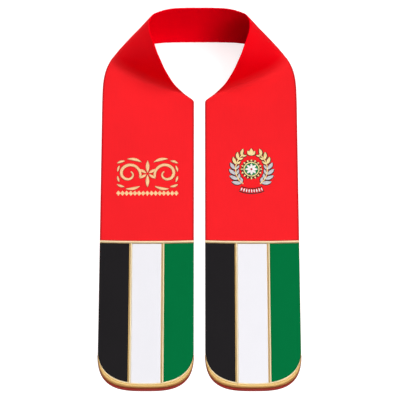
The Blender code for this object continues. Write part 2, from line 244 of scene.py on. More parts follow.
def new_material(name, **sockets):
    """A Principled material with the given values on the shader's own sockets."""
    made = bpy.data.materials.new(name)
    made.use_nodes = True
    shader = made.node_tree.nodes["Principled BSDF"]
    for socket, value in sockets.items():
        shader.inputs[socket.replace("_", " ")].default_value = value
    return made, made.node_tree, shader


def cloth(name, colour, rib_width, gleam="#FFFFFF", streak=0.05, roughness=0.62, specular=0.05,
          slope=1.0, painted_edge_shade=1.0, painted_shade=False):
    """Woven polyester. The eye gets a soft even colour with a faint diagonal rib, slight streaks
    along the warp where the yarns differ, and a slow change of tone over the piece. Painted shade
    deepens the edges where the cloth lies on the table; the edges where it stands are a little
    lighter. Where the cloth stands, its colour is painted a little purer, without the sheen of the
    flat cloth. A cloth with painted shade inside the neck is deeper towards the right end of the
    neck's inside. The UV map holds metres across and along the cloth. Threads of 0.25 mm are too
    fine to show, so the ribs are wider than they are: the wave's own scale puts two of them 0.63
    rib widths apart."""
    made, tree, shader = new_material(name, Specular_IOR_Level=specular, Roughness=roughness,
                                      Specular_Tint=linear(gleam))
    place = add_node(tree, "UVMap", uv_map="cloth").outputs["UV"]
    turned_place = add_node(tree, "Mapping", {"Vector": place,
                                              "Rotation": (0, 0, math.radians(45) * slope),
                                              "Scale": (1 / rib_width, 1 / rib_width, 1)})
    rib = add_node(tree, "TexWave", {"Vector": turned_place.outputs["Vector"], "Scale": 0.5,
                                     "Distortion": 1.2, "Detail": 2.0, "Detail Scale": 2.0})
    warp = add_node(tree, "Mapping", {"Vector": place, "Scale": YARNS}).outputs["Vector"]
    yarn = add_node(tree, "TexNoise", {"Vector": warp, "Scale": 1.0, "Detail": 3.0})
    slow = add_node(tree, "TexNoise", {"Vector": place, "Scale": SLOW_TONE, "Detail": 2.0})
    grain = worked_out(tree, "ADD", yarn.outputs["Fac"], rib.outputs["Fac"])
    tone = worked_out(tree, "ADD", grain, slow.outputs["Fac"])
    value = ranged(tree, tone, 0.8, 2.2, 1.0 - streak, 1.0 + streak)
    across = add_node(tree, "SeparateXYZ", {"Vector": place}).outputs["X"]
    inward = worked_out(tree, "PINGPONG", across, LEG_WIDTH / 2)
    spot = add_node(tree, "SeparateXYZ", {"Vector": add_node(tree, "TexCoord").outputs["Object"]})
    # Painted shade along the edges where the cloth lies; the edges where it stands are a little
    # lighter
    painted_edge_tone = ranged(tree, spot.outputs["Z"], LIES, STANDS, painted_edge_shade, 1.10)
    edge = ranged(tree, inward, EDGE_SHADE_WIDTH / 3, EDGE_SHADE_WIDTH, painted_edge_tone)
    value = worked_out(tree, "MULTIPLY", value, edge)
    # Painted shade inside the neck's right end
    if painted_shade:
        value = worked_out(tree, "MULTIPLY", value, painted_neck_shade(tree, spot))
    # Painted: standing cloth is a little purer in colour, without the sheen of the flat cloth
    painted_purity = ranged(tree, spot.outputs["Z"], LIES, STANDS, 1.0, 1.02)
    tinted = add_node(tree, "HueSaturation", {"Color": linear(colour), "Value": value,
                                              "Saturation": painted_purity})
    bump = add_node(tree, "Bump", {"Height": grain, "Strength": 0.12, "Distance": 0.0002})
    tree.links.new(tinted.outputs["Color"], shader.inputs["Base Color"])
    tree.links.new(bump.outputs["Normal"], shader.inputs["Normal"])
    return made


def painted_neck_shade(tree, spot):
    """The share of tone that the painted shade inside the neck leaves: one less the product of three
    even rises, to the right end, to the back of the corner of the neck, and down to the table."""
    right = ranged(tree, spot.outputs["X"], *SHADE_ACROSS, to_high=SHADE)
    back = ranged(tree, spot.outputs["Y"], *SHADE_BEHIND)
    down = ranged(tree, spot.outputs["Z"], 0.0, NECK_HEIGHT, 1.0, SHADE_AT_TOP)
    shade = worked_out(tree, "MULTIPLY", worked_out(tree, "MULTIPLY", right, back), down)
    return worked_out(tree, "SUBTRACT", 1.0, shade)


def thread(name, colour, shade, pitch, roughness=0.45, metallic=0.0, specular=0.25, slant=0.3,
           depth=0.0002):
    """Thread laid side by side, as in satin stitch or in a wrapped cord. The eye gets fine ribs
    across the stroke, with painted shade darkening the groove between two threads, and a soft
    lustre on each. The UV map holds metres along and across the stroke."""
    made, tree, shader = new_material(name, Metallic=metallic, Specular_IOR_Level=specular)
    place = add_node(tree, "UVMap", uv_map="cloth").outputs["UV"]
    parts = add_node(tree, "SeparateXYZ", {"Vector": place})
    lean = worked_out(tree, "MULTIPLY_ADD", parts.outputs["Y"], slant, parts.outputs["X"])
    wave = worked_out(tree, "SINE", worked_out(tree, "MULTIPLY", lean, math.tau / pitch))
    rib = ranged(tree, wave, -1.0, 0.6)
    fine = add_node(tree, "TexNoise", {"Vector": place, "Scale": FIBRES, "Detail": 2.0})
    mixed = worked_out(tree, "MULTIPLY_ADD", fine.outputs["Fac"], 0.5, rib)
    ramp = add_node(tree, "ValToRGB", {"Fac": ranged(tree, mixed, 0.2, 1.2)})
    ramp.color_ramp.elements[0].color = linear(shade)
    ramp.color_ramp.elements[1].color = linear(colour)
    gloss = ranged(tree, fine.outputs["Fac"], 0.0, 1.0, roughness - 0.08, roughness + 0.12)
    bump = add_node(tree, "Bump", {"Height": mixed, "Strength": 0.5, "Distance": depth})
    tree.links.new(ramp.outputs["Color"], shader.inputs["Base Color"])
    tree.links.new(gloss, shader.inputs["Roughness"])
    tree.links.new(bump.outputs["Normal"], shader.inputs["Normal"])
    return made


# Meshes


def add_piece(name, mesh, material, *nodes, slot=None, body="root"):
    """Puts a finished mesh in the scene in place of the named CAD nodes."""
    mesh.materials.append(material)
    mesh.shade_smooth()
    piece = bpy.data.objects.new(name, mesh)
    bpy.context.scene.collection.objects.link(piece)
    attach(piece, body)
    if nodes:
        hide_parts(*nodes)
    return piece


def quads(index):
    """Four-sided faces over the last two axes of an array of vertex numbers."""
    a, b = index[..., :-1, :-1], index[..., 1:, :-1]
    c, d = index[..., 1:, 1:], index[..., :-1, 1:]
    return np.stack([a, b, c, d], axis=-1).reshape(-1, 4)


def new_mesh(name, points, faces, chart):
    """A mesh from points, faces and the place of each point on its cloth, as a UV map."""
    made = bpy.data.meshes.new(name)
    made.from_pydata(points.reshape(-1, 3).tolist(), [], faces)
    corner = np.empty(len(made.loops), np.int32)
    made.loops.foreach_get("vertex_index", corner)
    layer = made.uv_layers.new(name="cloth")
    layer.data.foreach_set("uv", chart.reshape(-1, 2)[corner].astype(np.float32).ravel())
    made.validate()
    return made


def closed_sheet(name, top, bottom, chart):
    """Two grids of the same shape, one over the other, joined all round by a wall."""
    rows, columns = top.shape[:2]
    upper = np.arange(rows * columns).reshape(rows, columns)
    lower = upper + rows * columns
    rim = np.concatenate([upper[:-1, 0], upper[-1, :-1], upper[:0:-1, -1], upper[0, :0:-1]])
    rim = np.append(rim, rim[0])
    wall = quads(np.stack([rim, rim + rows * columns]))
    faces = np.concatenate([quads(upper), quads(lower)[:, ::-1], wall]).tolist()
    points = np.stack([top, bottom])
    return new_mesh(name, points, faces, np.stack([chart, chart]))


def closed_bands(name, rings, chart):
    """Closed tubes, an array of them by rows by points round, with a flat face at each end."""
    count, rows, sides = rings.shape[:3]
    index = np.arange(count * rows * sides).reshape(count, rows, sides)
    wrapped = np.concatenate([index, index[:, :, :1]], axis=2)
    faces = quads(wrapped).tolist()
    faces += index[:, 0, ::-1].tolist() + index[:, -1].tolist()
    return new_mesh(name, rings, faces, chart)


def unit(vectors):
    """The vectors with length one."""
    return vectors / np.linalg.norm(vectors, axis=-1, keepdims=True)


# The strip's forms, as functions of the place along it and across it


def through(points, steps):
    """Cuts each stretch between the given points in steps, on a Catmull-Rom curve through them:
    a half times (2b + (c - a)u + (2a - 5b + 4c - d)u^2 + (3b - a - 3c + d)u^3)."""
    points = np.asarray(points, float)
    first = 2 * points[:1] - points[1:2]
    last = 2 * points[-1:] - points[-2:-1]
    p = np.vstack([first, points, last])
    u = (np.arange(steps) / steps)[None, :, None]
    a, b, c, d = p[:-3, None], p[1:-2, None], p[2:-1, None], p[3:, None]
    curve = 0.5 * (2 * b + (c - a) * u + (2 * a - 5 * b + 4 * c - d) * u**2
                   + (3 * b - a - 3 * c + d) * u**3)
    return np.vstack([curve.reshape(-1, points.shape[1]), points[-1:]])


def rails(steps):
    """The neck edge and the foot edge of the middle surface, from the chest of the left leg to the
    middle of the back, each edge point with its height and its sweep. The neck corner is the last
    row whose edge still runs along the gap."""
    outer = HALF_GAP + LEG_WIDTH
    shoulder = outer - SHOULDER_INSET
    edge = [(-HALF_GAP - r["edge_out"] * (NECK_HALF_WIDTH - HALF_GAP), r["edge_back"] * NECK_DEPTH,
             r["edge_up"] * NECK_HEIGHT, r["sweep"]) for r in TURN]
    foot = [(-outer + r["foot_in"] * SHOULDER_INSET, r["foot_back"] * NECK_DEPTH) for r in TURN]
    edge += [(-r["top_side"] * NECK_HALF_WIDTH, r["top_back"] * NECK_DEPTH, NECK_HEIGHT,
              r["sweep"]) for r in BAND]
    foot += [(-r["foot_side"] * shoulder, r["foot_back"] * NECK_DEPTH) for r in BAND]
    corner = sum(r["edge_out"] == 0.0 for r in TURN) - 1
    straight = through(edge[:corner + 1], steps)
    turning = through(edge[corner:], steps)
    return np.vstack([straight[:-1], turning]), through(foot, steps)


def round_end(x, depth, squareness):
    """How far a rounded end reaches past ROUND_START at a place x across the leg: the depth of the
    curve |x / half width|^n + |y / depth|^n = 1."""
    share = np.clip(np.abs(x) / (LEG_WIDTH / 2), 0.0, 1.0)
    return depth * (1.0 - share**squareness) ** (1.0 / squareness)


def seam(x):
    """The cross seam's place down the leg. It sags in the middle as a parabola, and the sewn seam
    lies a little lower than the part's."""
    return -SEAM_DROP - SEAM_LOWER - SEAM_SAG * (1.0 - (x / (LEG_WIDTH / 2)) ** 2)


def with_edges(low, high, count):
    """Places from low to high, spaced as a cosine and crowded over the turned edge at both ends."""
    near = np.array([0.0, 0.08, 0.22, 0.42, 0.70, 1.0]) * TURNED_EDGE
    turn = np.linspace(0.0, math.pi, count)[1:-1]
    inner = low + near[-1] + (high - low - 2 * near[-1]) * (1 - np.sign(np.cos(turn))
                                                          * np.abs(np.cos(turn)) ** 0.75) / 2
    return np.concatenate([low + near, inner, high - near[::-1]])


def turned(distance):
    """The share of a cloth's thickness near its edge, a quarter circle over the turned edge."""
    share = np.clip(distance / TURNED_EDGE, 0.0, 1.0)
    return np.sqrt(np.maximum(1.0 - (1.0 - share) ** 2, 0.05))


def ripple(x, y):
    """The slow waves of cloth that lies on a table, as the sum of three crossing sines. It is zero
    or more everywhere, because the table holds the cloth up."""
    first = np.sin(math.tau * (y / 0.131 + 0.35 * np.sin(x / 0.047)))
    second = np.sin(math.tau * (x / 0.083 - y / 0.290) + 1.1)
    third = np.sin(math.tau * (x / 0.041 + y / 0.170) + 0.4)
    return RIPPLE_HEIGHT * (2.2 + first + 0.8 * second + 0.4 * third) / 2


def puckers(distance, walk, reach, pitch, phase=0.0):
    """Small waves beside a seam that die away from it."""
    return PUCKER_HEIGHT * np.exp(-distance / reach) * np.sin(math.tau * walk / pitch + phase)


def softened(grid, share):
    """The strip with its creases rounded: along each line of it, a point moves to the mean of its
    neighbours, weighted by the bell exp(-(distance / BEND_REACH)^2). The reach grows with the share
    of the way from the neck edge to the foot, and both ends of the legs stay as they are."""
    step = np.linalg.norm(np.diff(grid, axis=0), axis=2)
    walk = np.vstack([np.zeros((1, len(share))), np.cumsum(step, axis=0)])
    weight = np.gradient(walk, axis=0)
    from_end = np.minimum(walk, walk[-1] - walk) / BEND_REACH
    moved = grid.copy()
    grown = np.minimum(share / BEND_GROWTH, 1.0)
    for column, reach in enumerate(BEND_REACH * (EDGE_BEND + (1 - EDGE_BEND) * grown)):
        place = walk[:, column]
        bell = np.exp(-((place[:, None] - place[None, :]) / reach) ** 2) * weight[None, :, column]
        mean = bell @ grid[:, column] / bell.sum(axis=1, keepdims=True)
        part = np.clip(from_end[:, column] / STILL_REACHES - 1, 0.0, 1.0)[:, None]
        moved[:, column] += part * (mean - grid[:, column])
    return moved


def strip(leg_end, leg_rows, columns, steps=10):
    """The middle surface of the whole strip as a grid of points, with the places across it. Seen
    from above it is made of straight rulings, and each rises from the foot as the power sweep of
    the share of its way. The legs run from leg_end to the first ruling, with rows that crowd at
    leg_end for the turned edge, and the right half mirrors the left half."""
    across = with_edges(0.0, LEG_WIDTH, columns)
    t = across / LEG_WIDTH
    edge, foot = rails(steps)
    flat = edge[:, None, :2] * (1 - t)[None, :, None] + foot[:, None] * t[None, :, None]
    rise = MIDDLE_HEIGHT + edge[:, 2, None] * (1 - t)[None, :] ** edge[:, 3, None]
    neck = np.concatenate([flat, rise[..., None]], axis=2)
    x = LEG_WIDTH / 2 - across
    end = np.stack([x - LEG_CENTRE, leg_end(x), np.full_like(x, MIDDLE_HEIGHT)], axis=1)
    share = np.concatenate([np.array([0.0, 0.0006, 0.0016, 0.003, 0.005]),
                            np.linspace(0.008, 1.0, leg_rows, endpoint=False)])[:, None, None]
    leg = end[None] * (1 - share) + neck[:1] * share
    half = np.vstack([leg, neck])
    grid = softened(np.vstack([half, half[-2::-1] * (-1.0, 1.0, 1.0)]), t)
    return grid + (0.0, Y_SHIFT, 0.0), across


def strip_layer(name, leg_end, leg_rows, columns, direction, end_edge):
    """One cloth of the strip: the middle surface moved along its normals, on the side that
    direction says, by a wall that thins to its turned edges, with the ripple on the legs."""
    middle, across = strip(leg_end, leg_rows, columns)
    along = np.gradient(middle, axis=0)
    normal = unit(np.cross(along, np.gradient(middle, axis=1)))
    walk = np.concatenate([[0.0], np.cumsum(np.linalg.norm(np.diff(middle[:, columns // 2],
                                                                   axis=0), axis=1))])
    distance = np.minimum(across, LEG_WIDTH - across)[None, :] + np.zeros(middle.shape[:2])
    distance = np.minimum(distance, end_edge(middle))
    flat = normal[..., 2] ** 8
    lift = ripple(middle[..., 0], middle[..., 1]) * flat if direction > 0 else 0.0
    pucker = puckers(distance, walk[:, None], reach=0.006, pitch=0.011)
    wall = ((CLOTH + pucker) * turned(distance))[..., None]
    inner = middle + normal * direction * CLEARANCE / 3
    outer = inner + normal * direction * wall + UP * np.asarray(lift)[..., None]
    chart = np.stack(np.broadcast_arrays(across[None, :], walk[:, None]), axis=-1)
    top, bottom = (outer, inner) if direction > 0 else (inner, outer)
    return closed_sheet(name, top, bottom, chart)


def from_hem(grid):
    """How far each point of the strip is from the rounded hem, to first order: one less the
    superellipse's sum, over the length of that sum's gradient."""
    x = np.abs(np.abs(grid[..., 0]) - LEG_CENTRE) / (LEG_WIDTH / 2)
    y = np.maximum(Y_SHIFT - ROUND_START - grid[..., 1], 0.0) / HEM_ROUND
    n = HEM_SQUARENESS
    gradient = n * np.hypot(x ** (n - 1) / (LEG_WIDTH / 2), y ** (n - 1) / HEM_ROUND)
    return np.where(y > 0, np.maximum(1 - x**n - y**n, 0.0) / np.maximum(gradient, 1.0), 1.0)


def stripe(name, left, right, side, material, node, slot):
    """One stripe of the flag end, a cloth that is turned in at all its edges, with small puckers
    beside its seams. Its top follows the cross seam and its foot the rounded end."""
    x = with_edges(left, right, 30)
    foot = -ROUND_START - round_end(x, STRIPE_ROUND, STRIPE_SQUARENESS)
    top = seam(x) - PIPING_WIDTH / 2 - CLEARANCE
    share = with_edges(0.0, FLAG_LENGTH, 150)[:, None] / FLAG_LENGTH
    y = top[None, :] * (1 - share) + foot[None, :] * share
    x = np.broadcast_to(x[None, :], y.shape)
    distance = np.minimum(np.minimum(x - left, right - x), np.minimum(top - y, y - foot) + 0.0004)
    world_x, world_y = side * LEG_CENTRE + x, Y_SHIFT + y
    pucker = puckers(distance, y, reach=0.004, pitch=0.009, phase=40 * left)
    rise = CLOTH * turned(distance) + pucker + ripple(world_x, world_y)
    low = np.full_like(rise, FACE_BASE - CLEARANCE / 2)
    upper = np.stack([world_x, world_y, low + rise], axis=-1)
    lower = np.stack([world_x, world_y, low], axis=-1)
    chart = np.stack([world_x, world_y], axis=-1)
    mesh = closed_sheet(name, upper[:, ::-1], lower[:, ::-1], chart[:, ::-1])
    piece = add_piece(name, mesh, material, node, slot=slot)


def cord(name, inner, outer, side, height, pitch, relief, material, *nodes,
         base=FACE_BASE - CLEARANCE / 2, slot="gold_braid"):
    """A twisted cord between two lines on a leg: half an ellipse over each pair of points, whose
    radius follows the cosine of the turn along the cord less twice the turn round it."""
    gap = np.linalg.norm(np.diff((inner + outer) / 2, axis=0), axis=1)
    walk = np.concatenate([[0.0], np.cumsum(gap)])
    angle = np.linspace(0.0, math.pi, 13)
    share = (1 - np.cos(angle)) / 2
    strand = 1.0 + relief * np.cos(math.tau * walk[:, None] / pitch - 2.0 * angle[None, :])
    flat = inner[:, None] * (1 - share)[None, :, None] + outer[:, None] * share[None, :, None]
    width = np.linalg.norm(outer - inner, axis=1)
    full = np.clip(width / width.max(), 0.0, 1.0) ** 0.5
    rise = height * full[:, None] * np.maximum(np.sin(angle)[None, :] * strand, 0.05)
    x = side * LEG_CENTRE + flat[..., 0]
    y = Y_SHIFT + flat[..., 1]
    low = base + np.zeros_like(rise)
    top = np.stack([x, y, low + rise + ripple(x, y) * 0.5], axis=-1)
    bottom = np.stack([x, y, low], axis=-1)[:, ::-1]
    ring = np.concatenate([top, bottom[:, [0, -1]]], axis=1)
    across = np.concatenate([share, [1.0, 0.0]])[None, :] * width[:, None]
    chart = np.stack(np.broadcast_arrays(walk[:, None], across), axis=-1)
    mesh = closed_bands(name, ring[None, :, ::-1], chart[None, :, ::-1])
    add_piece(name, mesh, material, *nodes, slot=slot)


def strands(name, inner, outer, side, height, pitch, parts, node):
    """Cords side by side between two lines. Each part gives its word, the shares of the way across
    where it begins and ends, its share of the height, its relief and its yarn. The broadest stands
    for the CAD's node."""
    broadest = max(part["high"] - part["low"] for part in parts)
    for part in parts:
        near = inner + (outer - inner) * part["low"]
        far = inner + (outer - inner) * part["high"]
        nodes = [node] if part["high"] - part["low"] == broadest else []
        cord(f"{name}_{part['word']}", near, far, side, height * part["tall"], pitch,
             part["relief"], part["yarn"], *nodes)


def stripes(side, word):
    """The three stripes of one leg."""
    left = -LEG_WIDTH / 2
    for colour, material in (("black", black_twill), ("white", white_twill), ("green", green_twill)):
        stripe(f"{colour}_panel_{word}", left, left + STRIPE_WIDTH, side, material,
               f"{colour}_stripe_{word}", f"{colour}_cloth")
        left += STRIPE_WIDTH + PIPING_WIDTH


def pipings(side, word):
    """The two pipings between the stripes of one leg."""
    # The cream strand is painted highlight and the tan strand painted shade, as light falls on a
    # round cord
    braid = [dict(word="rim", low=0.00, high=0.30, tall=0.8, relief=0.08, yarn=gold_yarn),
             dict(word="shaded_cleft", low=0.26, high=0.50, tall=0.6, relief=0.10, yarn=shade_line_yarn),
             dict(word="lit_crown", low=0.42, high=1.00, tall=1.0, relief=0.10, yarn=highlight_yarn)]
    half = PIPING_WIDTH / 2
    step = (STRIPE_WIDTH + PIPING_WIDTH) / 2
    for number, centre in ((1, -step), (2, step)):
        bottom = -ROUND_START - round_end(centre, STRIPE_ROUND, STRIPE_SQUARENESS)
        y = np.linspace(seam(centre) - half, bottom, 420)
        left_line = np.stack([np.full_like(y, centre - half), y], axis=1)
        right_line = np.stack([np.full_like(y, centre + half), y], axis=1)
        strands(f"piping_cord_{word}_{number}", left_line, right_line, side, PIPING_HEIGHT,
                PIPING_TWIST, braid, f"piping_{word}_{number}")


def cross_seam(side, word):
    """The piping over the cross seam of one leg and the face's folded edge above it, painted darker
    red as a shadow line.
    """
    # The cream strand is painted highlight and the tan strand below it painted shade
    braid = [dict(word="shaded_cleft", low=0.00, high=0.32, tall=0.7, relief=0.10, yarn=shade_line_yarn),
             dict(word="lit_crown", low=0.24, high=1.00, tall=1.0, relief=0.10, yarn=highlight_yarn)]
    x = np.linspace(-LEG_WIDTH / 2, LEG_WIDTH / 2, 300)
    lower = np.stack([x, seam(x) - PIPING_WIDTH / 2], axis=1)
    upper = np.stack([x, seam(x) + PIPING_WIDTH / 2], axis=1)
    strands(f"cross_cord_{word}", lower, upper, side, PIPING_HEIGHT, PIPING_TWIST, braid,
            f"cross_piping_{word}")
    # The face's turned-in edge, darker red: painted shadow above the piping
    cord(f"seam_fold_{word}", upper, upper + (0.0, SEAM_FOLD), side, FOLD_HEIGHT, HEM_TWIST, 0.04,
         painted_shadow_fold, slot="red_satin")


def hem(side, word):
    """The crescent cord on the rounded end of one leg and the binding round it, darker red as
    painted shade under the cord.
    """
    # The cream inner strand is painted highlight and the brown outer strand painted shade
    braid = [dict(word="shade", low=0.00, high=0.27, tall=0.8, relief=0.05, yarn=shade_yarn),
             dict(word="body", low=0.18, high=0.80, tall=1.0, relief=0.08, yarn=gold_yarn),
             dict(word="lit_crown", low=0.70, high=1.00, tall=0.9, relief=0.05, yarn=highlight_yarn)]
    inner, outer, edge = hem_lines(np.linspace(math.radians(176.0), math.radians(4.0), 480))
    strands(f"hem_braid_{word}", outer, inner, side, CORD_HEIGHT, HEM_TWIST, braid,
            f"hem_cord_{word}")
    # The binding's dark red is painted shade under the cord
    cord(f"hem_binding_{word}", edge, outer, side, BINDING_HEIGHT, HEM_TWIST, 0.04, red_binding_in_painted_shade,
         base=CLEARANCE, slot="red_lining")


def hem_lines(turn):
    """The inner and the outer line of the crescent on the rounded end and the edge of the lining,
    as superellipses. The outer line leaves a margin of lining at the bottom that closes towards
    the sides, and the bound edge stands a little past the lining."""
    lines = []
    for depth, squareness in ((STRIPE_ROUND, STRIPE_SQUARENESS), (HEM_ROUND, HEM_SQUARENESS),
                              (HEM_ROUND, HEM_SQUARENESS)):
        power = 2.0 / squareness
        x = LEG_WIDTH / 2 * np.sign(np.cos(turn)) * np.abs(np.cos(turn)) ** power
        y = -depth * np.sin(turn) ** power
        lines.append(np.stack([x, y - ROUND_START], axis=1))
    lines[1][:, 1] += HEM_MARGIN * (1.0 - (2 * lines[1][:, 0] / LEG_WIDTH) ** 4)
    lines[2] += (lines[2] + (0.0, ROUND_START)) * BOUND_EDGE / HEM_ROUND
    return lines


# Embroidery: raised bands of thread along paths on the chest


def sewn(name, paths, half_widths, side, drop, material, nodes=(), slot=None, level=0.0,
         height=THREAD_HEIGHT, spread=0.0):
    """Raised bands of satin stitch. paths holds bands by points by x and y, and half_widths the
    band's half width at each point. The section is a flattened half round, which gets lower where
    the band gets narrower, and the band lies on the rippled cloth."""
    paths, half = np.asarray(paths, float), np.asarray(half_widths, float) + spread
    along = unit(np.gradient(paths, axis=1))
    sideways = np.stack([along[..., 1], -along[..., 0]], axis=-1)
    angle = np.linspace(0.0, math.pi, 9)
    reach = half[..., None] * np.cos(angle)
    flat = paths[:, :, None] + sideways[:, :, None] * reach[..., None]
    full = (half / half.max()) ** 0.5
    rise = height * full[..., None] * np.maximum(np.sin(angle), 0.0) ** 0.7
    x = side * LEG_CENTRE + flat[..., 0]
    y = Y_SHIFT - drop + flat[..., 1]
    cloth_top = FACE_TOP - CLEARANCE / 2 + ripple(x, y)
    top = np.stack([x, y, cloth_top + level + rise], axis=-1)
    low = np.stack([x, y, cloth_top - CLEARANCE], axis=-1)[:, :, ::-1]
    ring = np.concatenate([top, low[:, :, [0, -1]]], axis=2)
    step = np.linalg.norm(np.diff(paths, axis=1), axis=-1)
    walk = np.concatenate([np.zeros((len(paths), 1)), np.cumsum(step, axis=1)], axis=1)
    over = np.concatenate([reach, half[..., None] * (-1.0, 1.0)], axis=2)
    chart = np.stack(np.broadcast_arrays(walk[..., None], over), axis=-1)
    add_piece(name, closed_bands(name, ring, chart), material, *nodes, slot=slot)


def leaf_width(widest, power=0.8):
    """The half width along a leaf: a sine that is pointed at both ends."""
    u = np.linspace(0.0, 1.0, LEAF_POINTS)
    return widest * np.maximum(np.sin(math.pi * u), 0.04) ** power


def leaves(starts, angles, lengths, bend):
    """Curved leaf lines: each leaves its start at an angle and turns evenly by bend."""
    u = np.linspace(0.0, 1.0, LEAF_POINTS)[None, :]
    heading = np.asarray(angles)[:, None] + np.asarray(bend)[..., None] * (u - 0.5)
    step = np.asarray(lengths)[:, None] / (LEAF_POINTS - 1)
    x = np.cumsum(np.cos(heading) * step, axis=1) - np.cos(heading) * step
    y = np.cumsum(np.sin(heading) * step, axis=1) - np.sin(heading) * step
    return np.asarray(starts)[:, None] + np.stack([x, y], axis=-1)


def column(table, name):
    """One column of a table of rows."""
    return np.array([row[name] for row in table])


def left_chest():
    """Scrolls round a palmette over a row of lozenges. A scroll is a spiral that gets narrower
    towards its eye, with its sizes in shares of the scrolls' width and height."""
    count = 90
    turn = np.radians(np.linspace(200.0, -230.0, count))
    x = SCROLL_WIDTH * (0.30 + np.linspace(0.19, 0.045, count) * np.cos(turn))
    y = SCROLL_HEIGHT * np.linspace(0.40, 0.10, count) * np.sin(turn)
    swell = 0.6 + 0.4 * np.sin(np.linspace(0.0, math.pi, count))
    half = SCROLL_HEIGHT * np.linspace(0.064, 0.034, count) * swell
    starts = np.stack([column(SPRIG, "across") * SCROLL_WIDTH, column(SPRIG, "up") * SCROLL_HEIGHT],
                      axis=1)
    sprig = leaves(starts, np.radians(column(SPRIG, "heading")),
                   column(SPRIG, "length") * SCROLL_WIDTH, np.radians(column(SPRIG, "bend")))
    widths = leaf_width(1.0)[None] * column(SPRIG, "half_width")[:, None]
    for hand, word in ((-1.0, "left"), (1.0, "right")):
        spiral = np.stack([hand * x, y], axis=1)[None]
        shadowed(f"scroll_stroke_{word}", spiral, half[None], (f"scroll_{word}",))
        shadowed(f"scroll_leaves_{word}", sprig * (hand, 1.0), widths)
    angles = np.radians(column(PALMETTE, "heading"))
    starts = np.stack([np.cos(angles), np.sin(angles)], axis=1) * 0.0022
    petals = leaves(starts, angles, column(PALMETTE, "length") * SCROLL_HEIGHT,
                    np.zeros(len(PALMETTE)))
    widths = leaf_width(1.0)[None] * column(PALMETTE, "half_width")[:, None]
    shadowed("palmette_petals", petals, widths, ("palmette",))
    place = np.linspace(-SCROLL_WIDTH / 2, SCROLL_WIDTH / 2, 2 * LOZENGES + 1)[1::2]
    run = np.linspace(-0.5, 0.5, 13) * SCROLL_WIDTH / LOZENGES
    row = np.stack(np.broadcast_arrays(place[:, None] + run[None, :], 0.0), axis=-1)
    share = 1.0 - np.abs(np.linspace(-1.0, 1.0, 13))
    widths = np.broadcast_to(LOZENGE_HEIGHT / 2 * (0.10 + 0.86 * share), row.shape[:2])
    sewn("lozenge_stitches", row, widths, -1, LOZENGE_DROP, gold_thread, ("lozenge_row",),
         "gold_thread")


def shadowed(name, lines, widths, nodes=()):
    """Raised gold satin stitch over a slightly wider dark red one, which shows as a fine line of
    painted shadow.
    """
    sewn(f"{name}_edge", lines, widths, -1, SCROLL_DROP, shadow_line_thread, slot="gold_thread",
         height=0.0005, spread=SHADOW_LINE_SPREAD)
    sewn(name, lines, widths, -1, SCROLL_DROP, gold_thread, nodes, "gold_thread",
         level=0.0003, height=SCROLL_THREAD)


def oval(share, turn, hand):
    """Points on an oval that is a share of the medallion."""
    x = hand * MEDALLION_WIDTH * share * np.cos(turn)
    return np.stack([x, MEDALLION_HEIGHT * share * np.sin(turn)], axis=-1)


def right_chest():
    """A wreath of two leafy branches with a bud between their tips, round a roundel with rays, over
    a small ribbon. The lower leaves of each branch are silver, and those on its inner side are
    smaller."""
    for hand, word in ((-1.0, "left"), (1.0, "right")):
        turn = np.radians(np.linspace(-WREATH_TURN, WREATH_TURN, WREATH_PAIRS))
        start = oval(WREATH_SHARE, turn, 1.0)
        heading = np.arctan2(MEDALLION_HEIGHT * np.cos(turn), -MEDALLION_WIDTH * np.sin(turn))
        size = np.linspace(1.0, TIP_LEAF, WREATH_PAIRS)
        starts = np.concatenate([start, start])
        angles = np.concatenate([heading - LEAF_SPREAD, heading + LEAF_SPREAD])
        sizes = np.concatenate([size, size * INNER_LEAF])
        bend = np.repeat([LEAF_BEND, -LEAF_BEND], WREATH_PAIRS)
        lines = leaves(starts, angles, LEAF_LENGTH * sizes, bend) * (hand, 1.0)
        widths = leaf_width(LEAF_HALF_WIDTH)[None] * sizes[:, None]
        silver = np.tile(np.arange(WREATH_PAIRS) < SILVER_PAIRS, 2)
        stem = oval(WREATH_SHARE, np.radians(np.linspace(-58.0, 60.0, 60)), hand)[None]
        outlined(f"wreath_gold_{word}", lines[~silver], widths[~silver], pale_thread,
                 (f"wreath_{word}",))
        outlined(f"wreath_silver_{word}", lines[silver], widths[silver], silver_thread)
        sewn(f"wreath_stem_{word}", stem, np.full((1, 60), STEM_HALF_WIDTH), 1, MEDALLION_DROP,
             pale_thread, slot="gold_thread", level=0.0005)
    bud = leaves(np.tile((0.0, BUD_PLACE), (3, 1)), np.radians([90.0, 52.0, 128.0]),
                 np.array([1.0, 0.8, 0.8]) * BUD_LENGTH, np.zeros(3))
    outlined("bud", bud, np.tile(leaf_width(LEAF_HALF_WIDTH), (3, 1)), pale_thread)
    roundel_work()
    ribbon_work()


def outlined(name, lines, widths, material, nodes=(), drop=MEDALLION_DROP):
    """Bands of satin stitch over a wider dark band that shows as a line all round them."""
    sewn(f"{name}_outline", lines, widths, 1, drop, brown_thread, slot="gold_thread",
         height=0.0006, spread=OUTLINE)
    sewn(name, lines, widths, 1, drop, material, nodes, "gold_thread", level=0.0003)


def ring_band(name, radius, material, level, count=72):
    """A closed band round the roundel, whose last point meets the first."""
    turn = np.linspace(0.0, math.tau, count)
    line = np.stack([radius * np.cos(turn), radius * np.sin(turn)], axis=1)[None]
    sewn(name, line, np.full((1, count), RING_HALF_WIDTH), 1, MEDALLION_DROP, material,
         slot="gold_thread", level=level)


def star(count, radius, length):
    """Straight lines that point away from the roundel's middle all round it, from radius on."""
    angles = np.arange(count) * math.tau / count
    starts = np.stack([np.cos(angles), np.sin(angles)], axis=1) * radius
    return leaves(starts, angles, np.full(count, length), np.zeros(count))


def disc(radius, count, least):
    """The middle line and the half widths of a round field."""
    chord = np.linspace(-1.0, 1.0, count)
    line = np.stack([chord * radius, np.zeros(count)], axis=1)[None]
    return line, radius * np.sqrt(np.maximum(1 - chord**2, least))[None]


